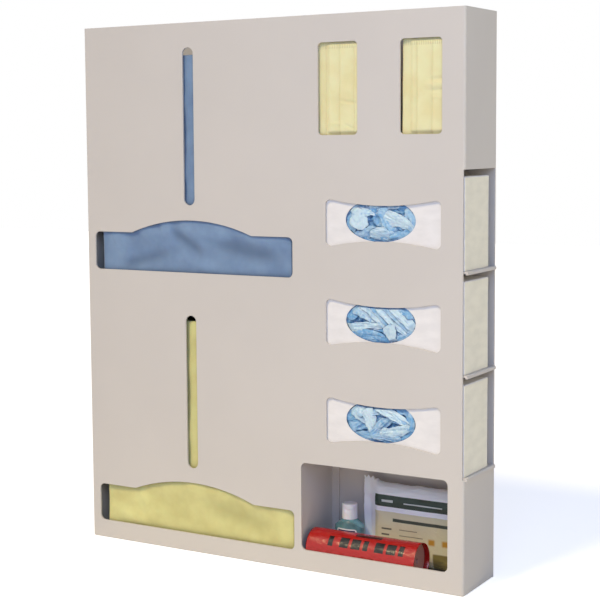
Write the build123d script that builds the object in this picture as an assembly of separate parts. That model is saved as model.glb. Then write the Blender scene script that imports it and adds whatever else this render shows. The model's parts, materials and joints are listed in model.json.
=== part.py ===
"""Wall-mounted gown isolation station, stocked for use.

A shallow case of folded and bonded ABS sheet hangs on a ward wall. The left column has two gown bays,
one above the other, each with an arched take-out window and a level slot. The right column has two
mask bays that load from the open top, three glove bays that load from the right-hand end, and a cubby
with a sanitizer bottle, a pack of wipes and a roll of waste bags.

Millimetres. +X is to the viewer's right, +Y goes to the wall and +Z is up. Pieces are modelled with
z = 0 at the bottom edge of the case, and are moved at export so that the origin is the centre of the
back face.
"""

import math
import os

from build123d import *

# Case sheet
sheet = 3.0
bend_radius = 4.0
seam_edge = 1.4
rest_gap = 0.2

# Folded gowns: four plies, standing on the bottom folds
gown_width = 341.0
gown_height = 350.0
gown_ply = 2.6
gown_ply_gap = 0.3
gown_free_end = 9.0
gown_pack_gap = 0.4
gown_front_room = 3.6
yellow_gowns_taken = 2

# Gown bays, one above the other
gown_left_room = 23.0
gown_right_room = 7.5
gown_headroom = 47.0
gown_bay_count = 2

# Take-out windows and level slots of the gown bays
window_corner = 8.0
gown_window_left = 12.75
gown_window_right = 5.25
gown_window_sill = 25.0
gown_window_side = 58.5
arch_chord = 215.0
arch_rise = 20.5
arch_blend = 9.0
slot_width = 19.0
slot_gap = 22.5
slot_above_gowns = 10.5

# Glove cartons
carton_length = 243.0
carton_height = 127.0
carton_depth = 83.0
carton_board = 0.8
carton_edge = 1.5
carton_front_room = 0.5
carton_back_room = 15.5
carton_left_room = 12.6
carton_end_stand = 1.1
carton_headroom = 11.2
oval_width = 107.5
oval_height = 60.0
oval_offset = -4.0
oval_rise = 2.5

# Gloves in the cartons
glove_clearance = 0.4
glove_edge = 6.0
glove_swell = 5.0
glove_swell_edge = 2.2
glove_swell_room = 1.0

# Glove bays, their shelves and their windows
glove_bay_count = 3
shelf_lip = 5.0
shelf_fold_radius = 2.0
end_wall_lap = 1.5
glove_window_width = 177.0
glove_window_height = 69.5
glove_window_waist = 10.0
glove_window_drop = 1.9

# Cubby below the glove bays
cubby_height = 159.0
cubby_window_left = 3.5
cubby_window_right = 21.0
cubby_window_sill = 27.4
cubby_window_head = 2.4

# Pleated masks, standing on their short side, and their bays above the glove bays
mask_width = 90.0
mask_height = 175.0
mask_ply = 1.7
mask_pleats = 3
mask_pleat_step = 1.2
mask_gap = 0.7
mask_front_room = 4.0
mask_headroom = 20.0
mask_right_rooms = [12.0, 0.6]
mask_window_left = 34.5
mask_window_pitch = 127.2
mask_window_width = 62.0
mask_window_height = 129.2
mask_window_sill = 43.4
mask_window_corner = 6.0

# Divider between the columns, with a flange that is bonded to the back panel
divider_flange = 12.0

# Keyholes in the back panel, at the spacing of wall studs
keyhole_pitch = 406.4
keyhole_drop = 17.6
keyhole_radius = 6.5
keyhole_neck = 6.0
keyhole_rise = 11.0

# Roll of waste bags, recessed at both ends of its wrap
roll_left_room = 8.0
roll_front_room = 0.6
roll_length = 173.0
roll_radius = 27.5
roll_flat = 0.5
roll_wrap = 1.2
roll_recess = 7.5
roll_core_radius = 4.0
roll_turns = 4
roll_turn_groove = 0.5

# Sanitizer bottle
bottle_left_room = 21.0
bottle_roll_room = 2.4
bottle_width = 47.0
bottle_thickness = 26.0
bottle_end_radius = 8.0
bottle_foot_edge = 2.0
bottle_shoulder_height = 51.0
bottle_shoulder_rise = 11.5
bottle_shoulder_radius = 6.0
neck_radius = 8.5

# Flip-top cap of the bottle
cap_seat = 0.3
cap_radius = 11.4
cap_height = 22.5
cap_wall = 1.6
lid_height = 7.0
lid_gap = 0.25
lid_edge = 1.2
hinge_bead_radius = 0.9
hinge_bead_length = 8.0
hinge_clearance = 0.15
notch_radius = 5.0
notch_depth = 1.4
spout_radius = 2.6
spout_height = 3.0
spout_clearance = 0.7

# Pillow pack of wipes, standing on its long side behind the bottle
pack_bottle_lap = 7.0
pack_bottle_room = 1.0
pack_right_room = 2.0
pack_back_room = 1.0
pack_length = 178.0
pack_height = 121.0
pack_thickness = 30.0
pack_fin = 1.6
pack_fin_length = 9.0
pack_shoulder = 20.0
pack_edge_share = 0.49

# The case is as deep as its deepest bay
carton_bay_depth = carton_front_room + carton_depth + carton_back_room + sheet
pack_half_depth = (pack_thickness + pack_fin) / 2 + pack_back_room
roll_back_depth = roll_front_room + 2 * roll_radius
bottle_back_depth = roll_back_depth + bottle_roll_room + bottle_thickness
cubby_depth = bottle_back_depth + pack_bottle_room + pack_half_depth
inner_depth = max(carton_bay_depth, cubby_depth)
case_depth = inner_depth + 2 * sheet
front_face = -case_depth
front_inner = front_face + sheet
back_inner = -sheet

# Each column is as wide as its widest bay
gown_bay_width = gown_left_room + gown_width + gown_right_room
carton_bay_width = carton_left_room + carton_length - carton_end_stand
pack_left = bottle_left_room + bottle_width - pack_bottle_lap
cubby_width = pack_left + pack_length + pack_right_room
mask_room = divider_flange + mask_width + max(mask_right_rooms)
column_width = max(carton_bay_width, cubby_width, 2 * mask_room + sheet)
mask_bay_width = (column_width - sheet) / 2
case_width = gown_bay_width + column_width + 3 * sheet
side_inner = case_width / 2 - sheet
divider_left = -side_inner + gown_bay_width
divider_right = divider_left + sheet

# Floors of the bays. The case is as tall as its taller column
gown_bay_pitch = gown_height + gown_headroom + sheet
gown_floors = [sheet + n * gown_bay_pitch for n in range(gown_bay_count)]
cubby_floor = sheet + rest_gap
glove_bay_pitch = carton_height + carton_headroom + sheet
glove_floors = [2 * sheet + cubby_height + n * glove_bay_pitch for n in range(glove_bay_count)]
mask_floor = glove_floors[-1] + glove_bay_pitch
mask_column_height = mask_floor + mask_height + mask_headroom
case_height = max(gown_bay_count * gown_bay_pitch, mask_column_height)

# Places that follow what the bays hold
slot_low = gown_window_sill + gown_window_side + arch_rise + slot_gap
slot_length = gown_height + slot_above_gowns - slot_low
oval_middle = carton_height / 2 + oval_rise
glove_window_middle = carton_height / 2 - glove_window_drop
cubby_window_height = cubby_height - cubby_window_sill - cubby_window_head
mask_thickness = mask_ply + mask_pleat_step
bottle_neck_height = bottle_shoulder_height + bottle_shoulder_rise


def block(x, y, z):
    """A box between two corners, with x, y and z each given as a (low, high) pair."""
    size = [high - low for low, high in (x, y, z)]
    middle = [(low + high) / 2 for low, high in (x, y, z)]
    return Pos(*middle) * Box(*size)


def in_depth(x, z):
    """A box that fills the depth between the front and back sheets."""
    return block(x, (front_inner, back_inner), z)


def oval(width, height, end_radius):
    """Outline of four tangent arcs about the origin, wider than it is high."""
    half, rise = width / 2, height / 2
    side_radius = ((half - end_radius) ** 2 + rise**2 - end_radius**2) / (2 * (rise - end_radius))
    share = 1 / (side_radius - end_radius)
    x, y = (half - end_radius) * side_radius * share, (side_radius - rise) * end_radius * share
    sides = [ThreePointArc((-x, way * y), (0, way * rise), (x, way * y)) for way in (1, -1)]
    ends = [ThreePointArc((way * x, y), (way * half, 0), (way * x, -y)) for way in (1, -1)]
    return make_face(sides + ends)


def through_front(outline, x, z):
    """Turns an outline, drawn about its own origin, into a cutter through the front sheet."""
    start = Plane(origin=(x, front_face - sheet, z), x_dir=(1, 0, 0), z_dir=(0, -1, 0))
    return extrude(start * outline, amount=-3 * sheet)


def footprint(back):
    """Plan of the folded cover, from its front face to the given y, with bent front corners."""
    depth = back - front_face
    plan = Pos(0, (front_face + back) / 2) * Rectangle(case_width, depth)
    corners = plan.vertices().filter_by(lambda v: v.Y < front_face + depth / 2)
    return fillet(corners, bend_radius)


def gown_window():
    """Outline of a take-out window about the middle of its sill: a rounded rectangle with an arch."""
    half, chord = (gown_bay_width - gown_window_left - gown_window_right) / 2, arch_chord / 2
    side, crown = gown_window_side, gown_window_side + arch_rise
    arch = ThreePointArc((-chord, side), (0, crown), (chord, side))
    rest = Polyline((chord, side), (half, side), (half, 0), (-half, 0), (-half, side), (-chord, side))
    outline = make_face([arch] + list(rest.edges()))
    corners = outline.vertices().filter_by(lambda v: abs(v.X) > (half + chord) / 2)
    outline = fillet(corners, window_corner)
    joins = outline.vertices().sort_by(lambda v: abs(abs(v.X) - chord) + abs(v.Y - side))[:2]
    return fillet(joins, arch_blend)


def glove_window(inset=0.0):
    """Outline of a glove window about its centre, narrowed at its waist, and smaller by an inset."""
    half, top = glove_window_width / 2 - inset, glove_window_height / 2 - inset
    waist = top - glove_window_waist
    edges = [
        ThreePointArc((-half, top), (0, waist), (half, top)),
        Line((half, top), (half, -top)),
        ThreePointArc((half, -top), (0, -waist), (-half, -top)),
        Line((-half, -top), (-half, top)),
    ]
    outline = make_face(edges)
    return fillet(outline.vertices(), window_corner)


def carton_ends():
    left = divider_right + carton_left_room
    return left, left + carton_length


def gown_window_cutters():
    """Take-out window and level slot of both gown bays."""
    left = -side_inner + gown_window_left
    right = divider_left - gown_window_right
    middle = (left + right) / 2
    cutters = []
    for floor in gown_floors:
        cutters.append(through_front(gown_window(), middle, floor + gown_window_sill))
        slot = SlotOverall(slot_length, slot_width, rotation=90)
        cutters.append(through_front(slot, middle, floor + slot_low + slot_length / 2))
    return cutters


def column_window_cutters():
    """Windows of the mask bays, the glove bays and the cubby."""
    cutters = []
    mask_window = RectangleRounded(mask_window_width, mask_window_height, mask_window_corner)
    for n in range(2):
        x = divider_right + mask_window_left + mask_window_width / 2 + n * mask_window_pitch
        z = mask_floor + mask_window_sill + mask_window_height / 2
        cutters.append(through_front(mask_window, x, z))
    for floor in glove_floors:
        middle = sum(carton_ends()) / 2
        cutters.append(through_front(glove_window(), middle, floor + glove_window_middle))
    left, right = divider_right + cubby_window_left, side_inner - cubby_window_right
    z = sheet + cubby_window_sill + cubby_window_height / 2
    cubby_window = RectangleRounded(right - left, cubby_window_height, window_corner)
    cutters.append(through_front(cubby_window, (left + right) / 2, z))
    return cutters


def front_cover():
    """Front and both side walls, folded from one sheet, with every window cut through it.

    It stands on the bottom panel. The right-hand wall is cut away beside the glove bays.
    """
    hollow = Pos(0, (front_inner + back_inner) / 2) * Rectangle(2 * side_inner, inner_depth)
    section = footprint(back_inner) - hollow
    cover = Pos(0, 0, sheet) * extrude(section, case_height - sheet)
    cover -= gown_window_cutters()
    cover -= column_window_cutters()
    end_low, end_high = glove_floors[0] - sheet, mask_floor - sheet - end_wall_lap
    end_x = (side_inner, case_width / 2 + sheet)
    return cover - block(end_x, (front_face - sheet, 0), (end_low, end_high))


def bottom_panel():
    """Floor under the cover and its contents, flush all round, with its lower edge eased."""
    panel = extrude(footprint(back_inner), sheet)
    under = panel.faces().sort_by(Axis.Z)[0].edges()
    eased = under.filter_by(lambda e: e.center().Y < back_inner - seam_edge)
    return fillet(eased, seam_edge)


def keyhole(x, z):
    """Cutter for one keyhole: a screw head enters the round end, and the neck drops over its shank."""
    start = Plane(origin=(x, sheet, z), x_dir=(1, 0, 0), z_dir=(0, -1, 0))
    shape = Circle(keyhole_radius) + Pos(0, keyhole_rise / 2) * Rectangle(keyhole_neck, keyhole_rise)
    shape += Pos(0, keyhole_rise) * Circle(keyhole_neck / 2)
    return extrude(start * shape, amount=3 * sheet)


def back_panel():
    """Flat sheet behind the whole case, with four keyholes."""
    panel = block((-case_width / 2, case_width / 2), (back_inner, 0), (0, case_height))
    high = case_height - keyhole_drop
    for x in (-keyhole_pitch / 2, keyhole_pitch / 2):
        for z in (high - keyhole_pitch, high):
            panel -= keyhole(x, z)
    return panel


def divider():
    """Upright wall between the columns, folded to a flange along the back panel."""
    height = (sheet, case_height)
    wall = in_depth((divider_left, divider_right), height)
    reach = (divider_left, divider_right + divider_flange)
    wall += block(reach, (back_inner - sheet, back_inner), height)
    corner = (divider_left, back_inner, case_height / 2)
    fold = wall.edges().filter_by(Axis.Z).sort_by_distance(corner)[0]
    return fillet(fold, sheet / 2)


def gown_shelf():
    """Floor of the upper gown bay."""
    top = gown_floors[1]
    return in_depth((-side_inner, divider_left), (top - sheet, top))


def glove_shelf(floor):
    """Floor of one glove bay, notched round the divider's flange, with a lip at its open end."""
    end = case_width / 2 + sheet
    shelf = in_depth((divider_right, end), (floor - sheet, floor))
    shelf += in_depth((end - sheet, end), (floor - shelf_lip, floor))
    corner = (end, (front_inner + back_inner) / 2, floor)
    fold = shelf.edges().filter_by(Axis.Y).sort_by_distance(corner)[0]
    return fillet(fold, shelf_fold_radius) - divider()


def mask_shelf():
    """Floor of the mask bays and roof of the top glove bay."""
    return in_depth((divider_right, side_inner), (mask_floor - sheet, mask_floor)) - divider()


def mask_partition():
    """Upright wall between the two mask bays."""
    left = divider_right + mask_bay_width
    return in_depth((left, left + sheet), (mask_floor, case_height))


def gown_thickness():
    return 4 * gown_ply + 3 * gown_ply_gap


def half_ring(radius, bore, way):
    """Half of a ring about the origin, on the upper side if way is 1 and the lower if it is -1."""
    half = Pos(0, way * radius / 2) * Rectangle(2 * radius, radius)
    return (Circle(radius) - Circle(bore)) & half


def gown_section():
    """End view of a gown folded twice, standing on the origin with its front on the left.

    Two U-folds, one inside the other, are at the bottom. At the top the back pair of plies turns
    over, and the front pair ends in two free edges, one shorter than the other.
    """
    outer = gown_thickness() / 2
    inner = gown_ply_gap / 2 + gown_ply
    turn_y = (gown_ply_gap / 2 + outer) / 2
    turn_z = gown_height - inner

    def ply(front, top):
        height = top - outer
        return Pos(front + gown_ply / 2, outer + height / 2) * Rectangle(gown_ply, height)

    section = Pos(0, outer) * half_ring(outer, outer - gown_ply, -1)
    section += Pos(0, outer) * half_ring(inner, gown_ply_gap / 2, -1)
    section += ply(-outer, gown_height)
    section += ply(-inner, gown_height - gown_free_end)
    section += ply(gown_ply_gap / 2, turn_z)
    section += ply(outer - gown_ply, turn_z)
    section += Pos(turn_y, turn_z) * half_ring(inner, gown_ply_gap / 2, 1)
    return section


def gown_stack(floor, taken):
    """Folded gowns packed front to back, leaning back together until the last one meets the wall."""
    room = inner_depth - gown_front_room - rest_gap
    pitch = gown_thickness() + gown_pack_gap
    count = int(room / pitch - taken)
    lean = math.asin((room - count * pitch) / gown_height)
    gown = Pos(-side_inner + gown_left_room, 0, 0) * extrude(Plane.YZ * gown_section(), gown_width)
    gown = Rot(-math.degrees(lean), 0, 0) * gown
    low = gown.bounding_box().min
    first = front_inner + gown_front_room - low.Y
    step = pitch / math.cos(lean)
    return [Pos(0, first + n * step, floor + rest_gap - low.Z) * gown for n in range(count)]


def mask_section():
    """Plan of one pleated mask: each pleat laps the next like a shingle. Its front faces down."""
    run = mask_width / (mask_pleats + 1)
    front = []
    for n in range(mask_pleats + 1):
        front += [(n * run, 0), ((n + 1) * run, mask_pleat_step)]
    back = [(x, y + mask_ply) for x, y in front]
    return make_face(Polyline(*front, *back[::-1], close=True))


def mask_stack(bay):
    """The masks of one bay, packed front to back, and set off from the bay's right-hand wall."""
    right = divider_right + mask_bay_width + bay * (mask_bay_width + sheet) - mask_right_rooms[bay]
    start = Pos(right - mask_width, front_inner + mask_front_room, mask_floor + rest_gap)
    mask = start * extrude(mask_section(), mask_height)
    pitch = mask_thickness + mask_gap
    count = 1 + int((inner_depth - mask_front_room - rest_gap - mask_thickness) / pitch)
    return Compound([Pos(0, n * pitch, 0) * mask for n in range(count)])


def carton_faces():
    front = front_inner + carton_front_room
    return front, front + carton_depth


def oval_plane(floor, y):
    """Plane of a carton's oval, facing the viewer, at the given depth."""
    middle = sum(carton_ends()) / 2 + oval_offset
    return Plane(origin=(middle, y, floor + oval_middle), x_dir=(1, 0, 0), z_dir=(0, -1, 0))


def inside(span, wall):
    return span[0] + wall, span[1] - wall


def glove_carton(floor):
    """Board carton standing on its long side, with a torn-out oval in its front."""
    z = (floor + rest_gap, floor + rest_gap + carton_height)
    spans = (carton_ends(), carton_faces(), z)
    shell = block(*spans)
    shell = fillet(shell.edges().filter_by(Axis.X), carton_edge)
    shell -= block(*[inside(span, carton_board) for span in spans])
    start = oval_plane(floor, carton_faces()[0] - carton_board)
    return shell - extrude(start * Ellipse(oval_width / 2, oval_height / 2), amount=-3 * carton_board)


def gloves(floor):
    """The packed gloves of one carton, which swell out through the oval and the window."""
    wall = carton_board + glove_clearance
    z = (floor + rest_gap, floor + rest_gap + carton_height)
    mass = block(*[inside(span, wall) for span in (carton_ends(), carton_faces(), z)])
    mass = fillet(mass.edges().filter_by(Axis.X), glove_edge)
    start = carton_faces()[0] + wall + glove_edge / 2
    room = glove_swell_room
    torn = oval_plane(floor, start) * Ellipse(oval_width / 2 - room, oval_height / 2 - room)
    middle = (sum(carton_ends()) / 2, start, floor + glove_window_middle)
    window_start = Plane(origin=middle, x_dir=(1, 0, 0), z_dir=(0, -1, 0))
    reach = start - carton_faces()[0] + glove_swell
    swell = extrude(torn, amount=reach) & extrude(window_start * glove_window(room), amount=reach)
    return mass + fillet(swell.faces().sort_by(Axis.Y)[0].edges(), glove_swell_edge)


def bottle_place():
    """Centre of the bottle's foot. It stands behind the bag roll."""
    x = divider_right + bottle_left_room + bottle_width / 2
    return x, front_inner + bottle_back_depth - bottle_thickness / 2, cubby_floor


def above_bottle(height):
    """Level plane on the bottle's centre line, at a height above its foot."""
    x, y, z = bottle_place()
    return Plane(origin=(x, y, z + height))


def seam_height():
    """Height of the split between the cap and its lid, which is also the hinge line."""
    return bottle_neck_height + cap_seat + cap_height - lid_height


def sanitizer_bottle():
    """Oval bottle, turned to a sloping shoulder above its oval sides, with a neck that fills the cap."""
    side, top = bottle_width / 2, bottle_neck_height
    outline = [(0, 0), (side, 0), (side, bottle_shoulder_height), (cap_radius, top), (0, top)]
    profile = make_face(Polyline(*outline, close=True))
    shoulder = profile.vertices().sort_by_distance((side, bottle_shoulder_height))[0]
    turned = revolve(Plane.XZ * fillet(shoulder, bottle_shoulder_radius), Axis.Z)
    foot = oval(bottle_width, bottle_thickness, bottle_end_radius)
    body = extrude(foot, top)
    body = fillet(body.faces().sort_by(Axis.Z)[0].edges(), bottle_foot_edge)
    body = above_bottle(0) * (body & turned)
    neck_top = seam_height() - lid_gap / 2 - cap_wall - rest_gap
    neck = above_bottle(bottle_neck_height) * Circle(neck_radius)
    return body + extrude(neck, neck_top - bottle_neck_height)


def hinge_bead(radius, length):
    """Rod on the hinge line, at the back of the cap."""
    x, y, z = bottle_place()
    start = (x - length / 2, y + cap_radius, z + seam_height())
    return extrude(Plane(origin=start, z_dir=(1, 0, 0)) * Circle(radius), length)


def sanitizer_cap():
    """Lower part of the flip-top cap, with its spout, hinge groove and thumb notch."""
    low, top = bottle_neck_height + cap_seat, seam_height() - lid_gap / 2
    cap = extrude(above_bottle(low) * Circle(cap_radius), top - low)
    cap -= extrude(above_bottle(low) * Circle(neck_radius + rest_gap), top - low - cap_wall)
    cap += extrude(above_bottle(top) * Circle(spout_radius), spout_height)
    cap -= hinge_bead(hinge_bead_radius + hinge_clearance, hinge_bead_length + 2 * hinge_clearance)
    notch = Pos(0, notch_depth - cap_radius - notch_radius) * Circle(notch_radius)
    return cap - extrude(above_bottle(top) * notch, -2 * notch_depth)


def sanitizer_lid():
    """Flip lid, hinged at the back of the cap. It closes over the spout."""
    low = seam_height() + lid_gap / 2
    lid = extrude(above_bottle(low) * Circle(cap_radius), lid_height - lid_gap / 2)
    lid = fillet(lid.faces().sort_by(Axis.Z)[-1].edges(), lid_edge)
    pocket = above_bottle(low) * Circle(spout_radius + spout_clearance)
    lid -= extrude(pocket, spout_height + spout_clearance)
    return lid + hinge_bead(hinge_bead_radius, hinge_bead_length)


def pillow_side(way):
    """One long side of the pack's plan, from its left fin to its right fin."""
    near, far = pack_fin_length, pack_length - pack_fin_length
    thin, full = way * pack_fin / 2, way * pack_thickness / 2
    left = Spline((near, thin), (near + pack_shoulder, full), tangents=[(1, way), (1, 0)])
    right = Spline((far - pack_shoulder, full), (far, thin), tangents=[(1, 0), (1, -way)])
    fins = [Line((0, thin), (near, thin)), Line((far, thin), (pack_length, thin))]
    return [fins[0], left, Line(left @ 1, right @ 0), right, fins[1]]


def wipes_pack():
    """Soft pillow pack that stands on its long side, with a pressed fin at each end."""
    half = pack_fin / 2
    ends = [Line((x, -half), (x, half)) for x in (0, pack_length)]
    plan = make_face(pillow_side(1) + pillow_side(-1) + ends)
    middle_y = back_inner - pack_back_room - pack_thickness / 2
    place = Pos(divider_right + pack_left, middle_y, cubby_floor)
    edge = pack_edge_share * pack_thickness
    end_view = Pos(0, pack_height / 2) * RectangleRounded(pack_thickness, pack_height, edge)
    return place * (extrude(plan, pack_height) & extrude(Plane.YZ * end_view, pack_length))


def roll_end(x, way):
    """Cutter for one end of the roll: the recess inside its wrap, and rings that show its turns."""
    radius = roll_radius - roll_wrap
    mouth = Plane(origin=(x, *roll_axis()), x_dir=(0, 1, 0), z_dir=(way, 0, 0))
    cutter = extrude(mouth * Circle(radius), roll_recess)
    pitch = (radius - roll_core_radius) / roll_turns
    for n in range(roll_turns):
        bore = roll_core_radius + (n + 0.5) * pitch
        cutter += extrude(mouth * (Circle(bore + roll_turn_groove) - Circle(bore)), roll_recess + roll_turn_groove)
    return cutter


def roll_axis():
    return front_inner + roll_front_room + roll_radius, cubby_floor + roll_radius - roll_flat


def bag_roll():
    """Roll of bags in a film wrap, resting on a small flat."""
    left = divider_right + roll_left_room
    right = left + roll_length
    start = Plane(origin=(left, *roll_axis()), x_dir=(0, 1, 0), z_dir=(1, 0, 0))
    roll = extrude(start * (Circle(roll_radius) - Circle(roll_core_radius)), roll_length)
    roll = roll - roll_end(left, 1) - roll_end(right, -1)
    middle_y = roll_axis()[0]
    under = (cubby_floor - roll_radius, cubby_floor)
    return roll - block((left, right), (middle_y - roll_radius, middle_y + roll_radius), under)


def all_pieces():
    """Every piece of the station, by node name."""
    pieces = {
        "front_cover": front_cover(),
        "back_panel": back_panel(),
        "bottom_panel": bottom_panel(),
        "divider": divider(),
        "gown_shelf": gown_shelf(),
        "mask_shelf": mask_shelf(),
        "mask_partition": mask_partition(),
        "mask_stack_left": mask_stack(0),
        "mask_stack_right": mask_stack(1),
        "sanitizer_bottle": sanitizer_bottle(),
        "sanitizer_cap": sanitizer_cap(),
        "sanitizer_lid": sanitizer_lid(),
        "wipes_pack": wipes_pack(),
        "bag_roll": bag_roll(),
    }
    for n, floor in enumerate(glove_floors, 1):
        pieces[f"glove_shelf_{n}"] = glove_shelf(floor)
        pieces[f"glove_carton_{n}"] = glove_carton(floor)
        pieces[f"gloves_{n}"] = gloves(floor)
    for n, gown in enumerate(gown_stack(gown_floors[1], 0), 1):
        pieces[f"blue_gown_{n}"] = gown
    for n, gown in enumerate(gown_stack(gown_floors[0], yellow_gowns_taken), 1):
        pieces[f"yellow_gown_{n}"] = gown
    return pieces


def main():
    os.makedirs("parts", exist_ok=True)
    to_origin = Pos(0, 0, -case_height / 2)
    for name, piece in all_pieces().items():
        export_step(to_origin * piece, f"parts/{name}.step")


main()
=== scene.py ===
"""Dresses a stocked gown isolation station: its sheet, cloth, board, film and moulded finishes.

Metres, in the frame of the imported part: +X is to the viewer's right, +Y goes to the wall and +Z is up.
The origin is the centre of the back face. Sizes that a maker would state are written in millimetres.
"""

import json
import math
import random

import bpy
from bpy.props import FloatProperty, FloatVectorProperty, PointerProperty
from mathutils import Matrix, Vector, noise

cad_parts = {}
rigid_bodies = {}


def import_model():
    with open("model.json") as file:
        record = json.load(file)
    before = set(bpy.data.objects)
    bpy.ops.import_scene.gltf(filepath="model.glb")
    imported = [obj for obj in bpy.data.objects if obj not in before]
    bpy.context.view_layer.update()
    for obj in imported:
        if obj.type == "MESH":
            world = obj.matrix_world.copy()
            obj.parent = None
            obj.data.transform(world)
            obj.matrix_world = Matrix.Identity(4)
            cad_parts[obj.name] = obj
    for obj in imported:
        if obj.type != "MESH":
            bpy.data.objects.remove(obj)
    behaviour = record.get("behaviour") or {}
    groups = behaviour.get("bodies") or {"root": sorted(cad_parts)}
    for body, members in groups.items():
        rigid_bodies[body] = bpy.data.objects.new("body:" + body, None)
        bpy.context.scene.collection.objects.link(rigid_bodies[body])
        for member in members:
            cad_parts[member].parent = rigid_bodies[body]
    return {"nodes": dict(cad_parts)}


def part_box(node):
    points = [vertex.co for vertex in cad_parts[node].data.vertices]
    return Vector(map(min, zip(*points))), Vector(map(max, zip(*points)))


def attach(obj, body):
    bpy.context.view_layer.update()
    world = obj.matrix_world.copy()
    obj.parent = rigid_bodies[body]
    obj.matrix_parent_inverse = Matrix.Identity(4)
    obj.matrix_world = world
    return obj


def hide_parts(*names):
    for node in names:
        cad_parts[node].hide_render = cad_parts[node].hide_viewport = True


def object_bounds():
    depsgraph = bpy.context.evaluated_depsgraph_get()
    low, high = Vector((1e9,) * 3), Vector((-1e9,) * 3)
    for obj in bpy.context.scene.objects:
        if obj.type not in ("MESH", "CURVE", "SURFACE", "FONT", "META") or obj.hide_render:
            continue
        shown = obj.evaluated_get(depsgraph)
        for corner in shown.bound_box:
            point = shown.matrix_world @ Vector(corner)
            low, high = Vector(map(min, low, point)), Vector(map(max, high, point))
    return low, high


bl_info = {
    "name": "Gown isolation station",
    "version": (1, 0, 0),
    "blender": (4, 5, 0),
    "location": "View3D > Sidebar > Station",
    "description": "Dresses the packed station and its contents, and sets up the stage",
    "category": "Object",
}

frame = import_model()
cad_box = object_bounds()
MM = 0.001
STATION = "station"
nodes = frame["nodes"]


def linear(code):
    """Linear colour, with alpha, of an sRGB hex code such as #d2cdc8."""
    parts = [int(code[n : n + 2], 16) / 255 for n in (1, 3, 5)]
    return [p / 12.92 if p <= 0.04045 else ((p + 0.055) / 1.055) ** 2.4 for p in parts] + [1.0]


def per_metre(size_mm):
    """Scale of a texture whose pattern repeats at this size."""
    return 1 / (size_mm * MM)


def spans(node):
    """(low, high) of a CAD node along X, Y and Z."""
    return list(zip(*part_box(node)))


def length_size(name, description, size_mm):
    size = size_mm * MM
    return FloatProperty(name=name, description=description, default=size, unit="LENGTH", precision=5)


def colour(name, description, code):
    return FloatVectorProperty(
        name=name, description=description, default=linear(code)[:3], subtype="COLOR", min=0, max=1
    )


class StationSizes(bpy.types.PropertyGroup):
    """Real sizes of what is dressed."""

    gown_thickness: length_size("Gown thickness", "One folded gown, front to back", 11.3)
    gown_ply: length_size("Gown ply", "One ply of a folded gown", 1.9)
    gown_free_end: length_size("Free end", "How far a gown's inner free edge lies below the outer one", 9)
    gown_wrinkle: length_size("Gown wrinkle", "Depth of the wrinkles in a gown's front", 1.5)
    mask_ply: length_size("Mask ply", "Thickness of a mask's cloth", 0.9)
    mask_pitch: length_size("Mask pitch", "Distance from one mask to the next", 3.6)
    mask_pleat: length_size("Mask pleat", "How far one pleat stands out over the next", 1.2)
    board: length_size("Carton board", "Thickness of the carton's board", 0.8)
    glove_film: length_size("Glove film", "Thickness of a folded layer of glove", 0.5)
    wrap: length_size("Roll wrap", "Depth of the creases in the roll's wrap", 0.9)
    label_width: length_size("Label width", "Label on the bottle, measured round it", 33)
    label_height: length_size("Label height", "Label on the bottle, from its foot edge", 34)
    fin_tooth: length_size("Fin tooth", "Pitch of the teeth cut in the ends of the wipes pack", 3.2)


class StationColours(bpy.types.PropertyGroup):
    """Colours of the finishes, as the eye sees them in plain light."""

    sheet: colour("Sheet", "Putty grey of the case", "#d3cdc7")
    board: colour("Board", "Coated face of the glove cartons", "#f0edec")
    flap: colour("Board inside", "Uncoated side of the board, on the end flaps", "#fbf6e4")
    blue_cloth: colour("Blue cloth", "Gowns of the upper bay", "#819cbd")
    yellow_cloth: colour("Yellow cloth", "Gowns of the lower bay", "#e1dd99")
    mask_cloth: colour("Mask cloth", "Outer layer of the masks", "#ede8b7")
    nitrile: colour("Nitrile", "Gloves", "#6fa9d6")
    bottle: colour("Bottle", "Gel behind the clear wall of the bottle", "#6ea3ae")
    cap: colour("Cap", "Flip-top cap", "#f2f2f8")
    film: colour("Pack film", "Film of the wipes pack", "#f4f8ff")
    wrap: colour("Roll wrap", "Film of the bag roll", "#b81510")


def chosen(name):
    """A colour of the panel, with alpha."""
    return (*getattr(bpy.context.scene.station_colours, name), 1)


def darker(base, share):
    return (*(part * share for part in base[:3]), 1)


def add_node(tree, kind, inputs=None, **settings):
    """Adds a shader node. An input takes a value, an output, or a node whose first output feeds it."""
    made = tree.nodes.new("ShaderNode" + kind)
    for key, value in settings.items():
        setattr(made, key, value)
    for socket, value in (inputs or {}).items():
        source = value.outputs[0] if isinstance(value, bpy.types.Node) else value
        if isinstance(source, bpy.types.NodeSocket):
            tree.links.new(source, made.inputs[socket])
        else:
            made.inputs[socket].default_value = source
    return made


def new_material(name):
    """A material without nodes as yet, and its node tree."""
    material = bpy.data.materials.new(name)
    material.use_nodes = True
    material.node_tree.nodes.clear()
    return material, material.node_tree


def surface(material, inputs, relief=None, depth_mm=0.0, edge=None):
    """Ends a material in one shader, raised by a relief from 0 to 1 times a depth, with softened edges."""
    tree = material.node_tree
    if relief:
        raised = {"Height": relief, "Distance": depth_mm * MM, "Strength": 1.0}
        if edge:
            raised["Normal"] = edge
        inputs["Normal"] = add_node(tree, "Bump", raised)
    shader = add_node(tree, "BsdfPrincipled", inputs)
    add_node(tree, "OutputMaterial", {"Surface": shader})
    return material


def place(tree, stretch=(1, 1, 1)):
    """The point in the part's own frame, stretched, for a texture to read."""
    point = add_node(tree, "TexCoord").outputs["Object"]
    return add_node(tree, "Mapping", {"Vector": point, "Scale": stretch})


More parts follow.
